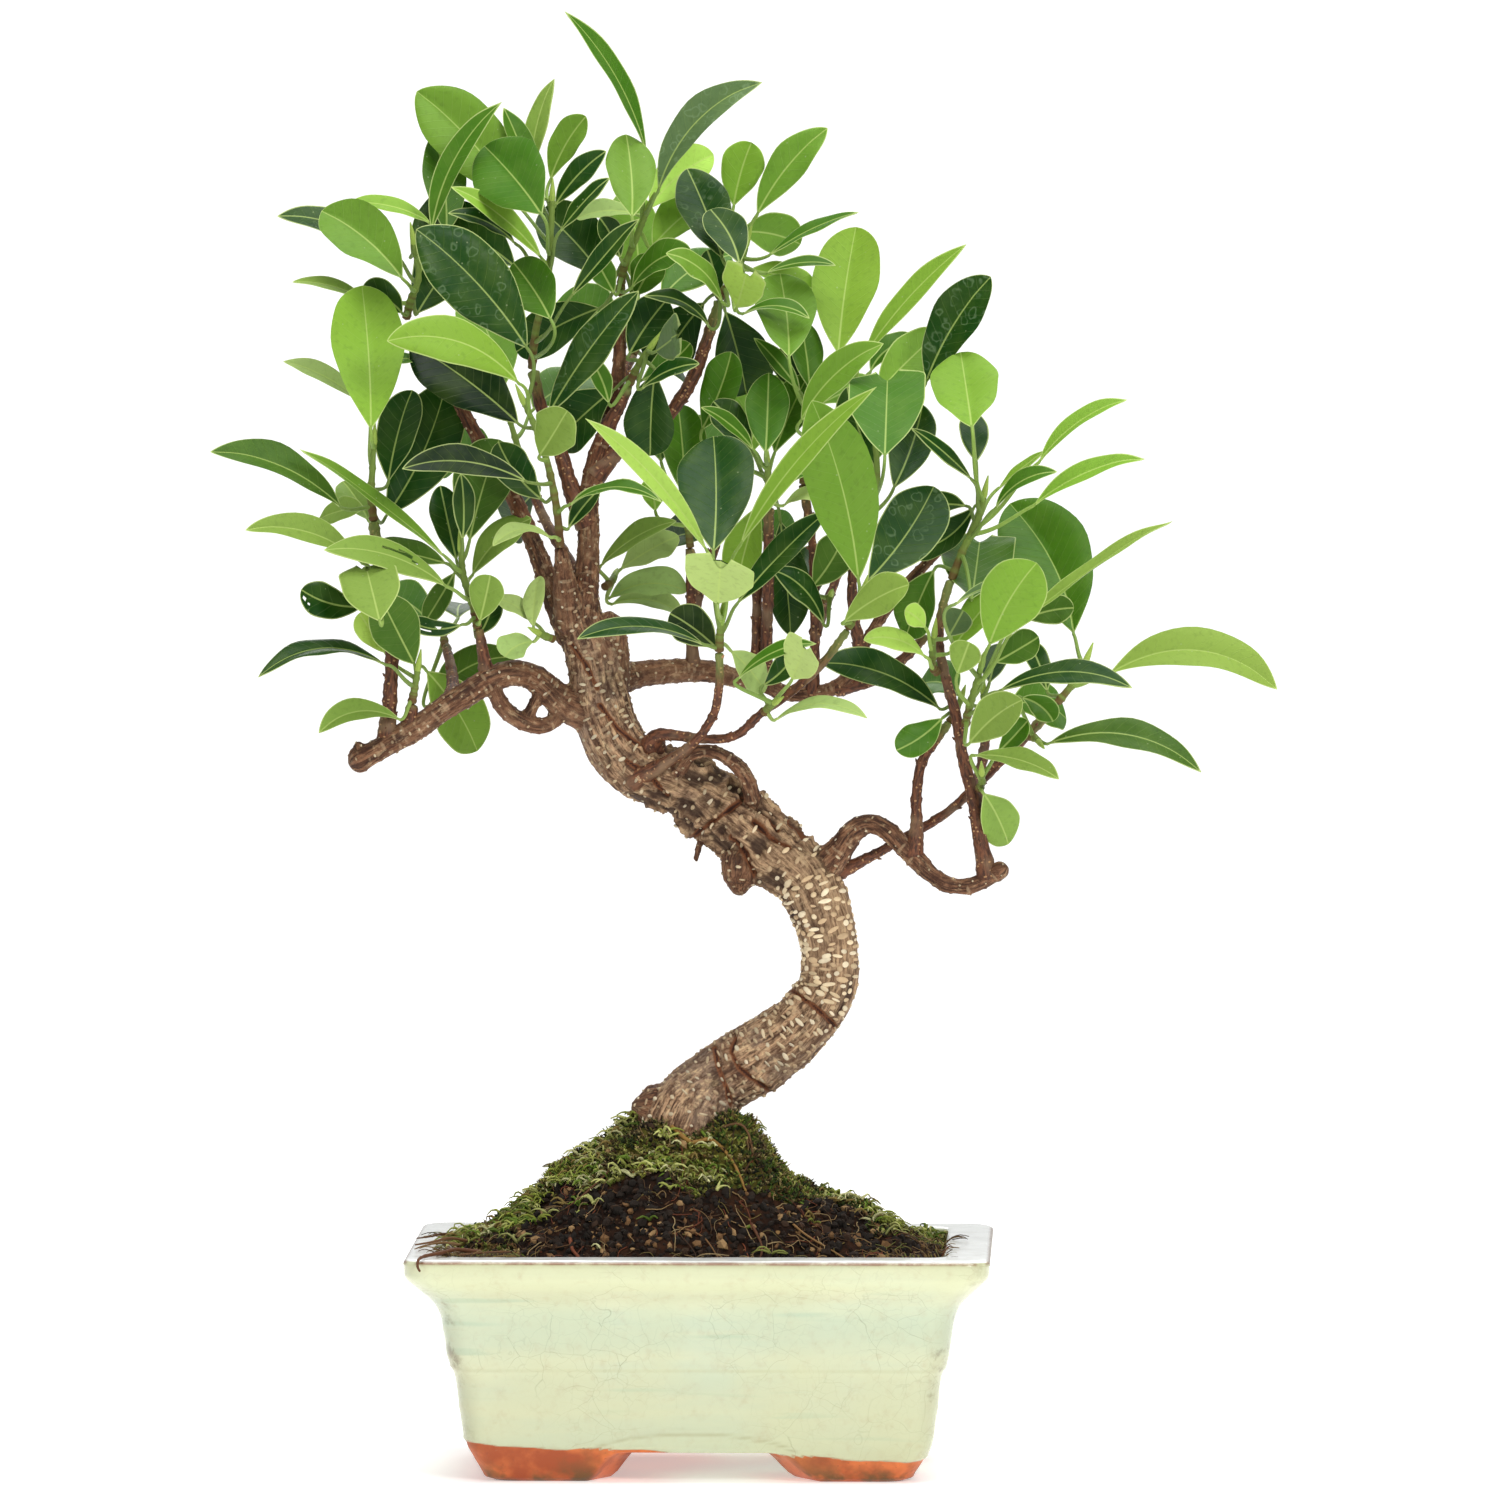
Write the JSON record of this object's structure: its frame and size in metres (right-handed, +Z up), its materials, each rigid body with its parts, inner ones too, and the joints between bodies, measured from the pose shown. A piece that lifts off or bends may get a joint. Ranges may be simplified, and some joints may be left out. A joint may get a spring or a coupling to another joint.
{
  "type": "potted bonsai tree",
  "caption": "Small fig bonsai with an S-curved trunk and glossy leaves, planted in a mossy mound of soil in a footed rectangular glazed pot.",
  "frame": {"origin": "centre of the whole plant's footprint, on the surface that the pot's feet stand on", "axes": "+Z up, along the whole height, the longest extent; X along the pot's long side; Y front to back with the front at -Y, the shortest extent"},
  "size_m": [0.365, 0.19, 0.5024],
  "materials": {
    "pot": "crackled pale celadon glaze over unglazed orange terracotta feet",
    "drain_screen": "black plastic netting",
    "soil": "dark damp potting soil with grit",
    "moss": "dry and green moss",
    "bark": "grey-brown bark with pale lenticels",
    "foliage": "glossy leathery leaves with pale margins"
  },
  "bodies": {
    "root": {"pot": "pot", "drain_screen_left": "drain_screen", "drain_screen_right": "drain_screen", "soil_mound": "soil", "moss_front_left": "moss", "moss_front_right": "moss", "moss_left": "moss", "moss_right": "moss", "moss_back": "moss", "tree": "bark", "shoot_crown_left": "foliage", "shoot_crown_mid": "foliage", "shoot_crown_right": "foliage", "shoot_left_top": "foliage", "shoot_left_mid": "foliage", "shoot_left_tower": "foliage", "shoot_left_side": "foliage", "shoot_low_left": "foliage", "shoot_low_back": "foliage", "shoot_branch": "foliage", "shoot_core_left": "foliage", "shoot_core_mid": "foliage", "shoot_trunk_left": "foliage", "shoot_trunk_right": "foliage", "shoot_heart": "foliage", "shoot_front_twig": "foliage", "shoot_front_low": "foliage", "shoot_mid_riser": "foliage", "shoot_right_riser": "foliage", "shoot_right_low": "foliage", "shoot_dark_riser": "foliage", "shoot_right_column": "foliage", "shoot_right_column_back": "foliage", "shoot_column_side": "foliage", "shoot_right_heart": "foliage", "shoot_right_bottom": "foliage", "shoot_right_inner": "foliage", "shoot_long_twig": "foliage", "shoot_twig_side": "foliage", "shoot_left_riser": "foliage", "shoot_rear_left": "foliage", "shoot_rear_high": "foliage", "shoot_rear_mid": "foliage", "shoot_rear_right": "foliage"}
  },
  "joints": []
}
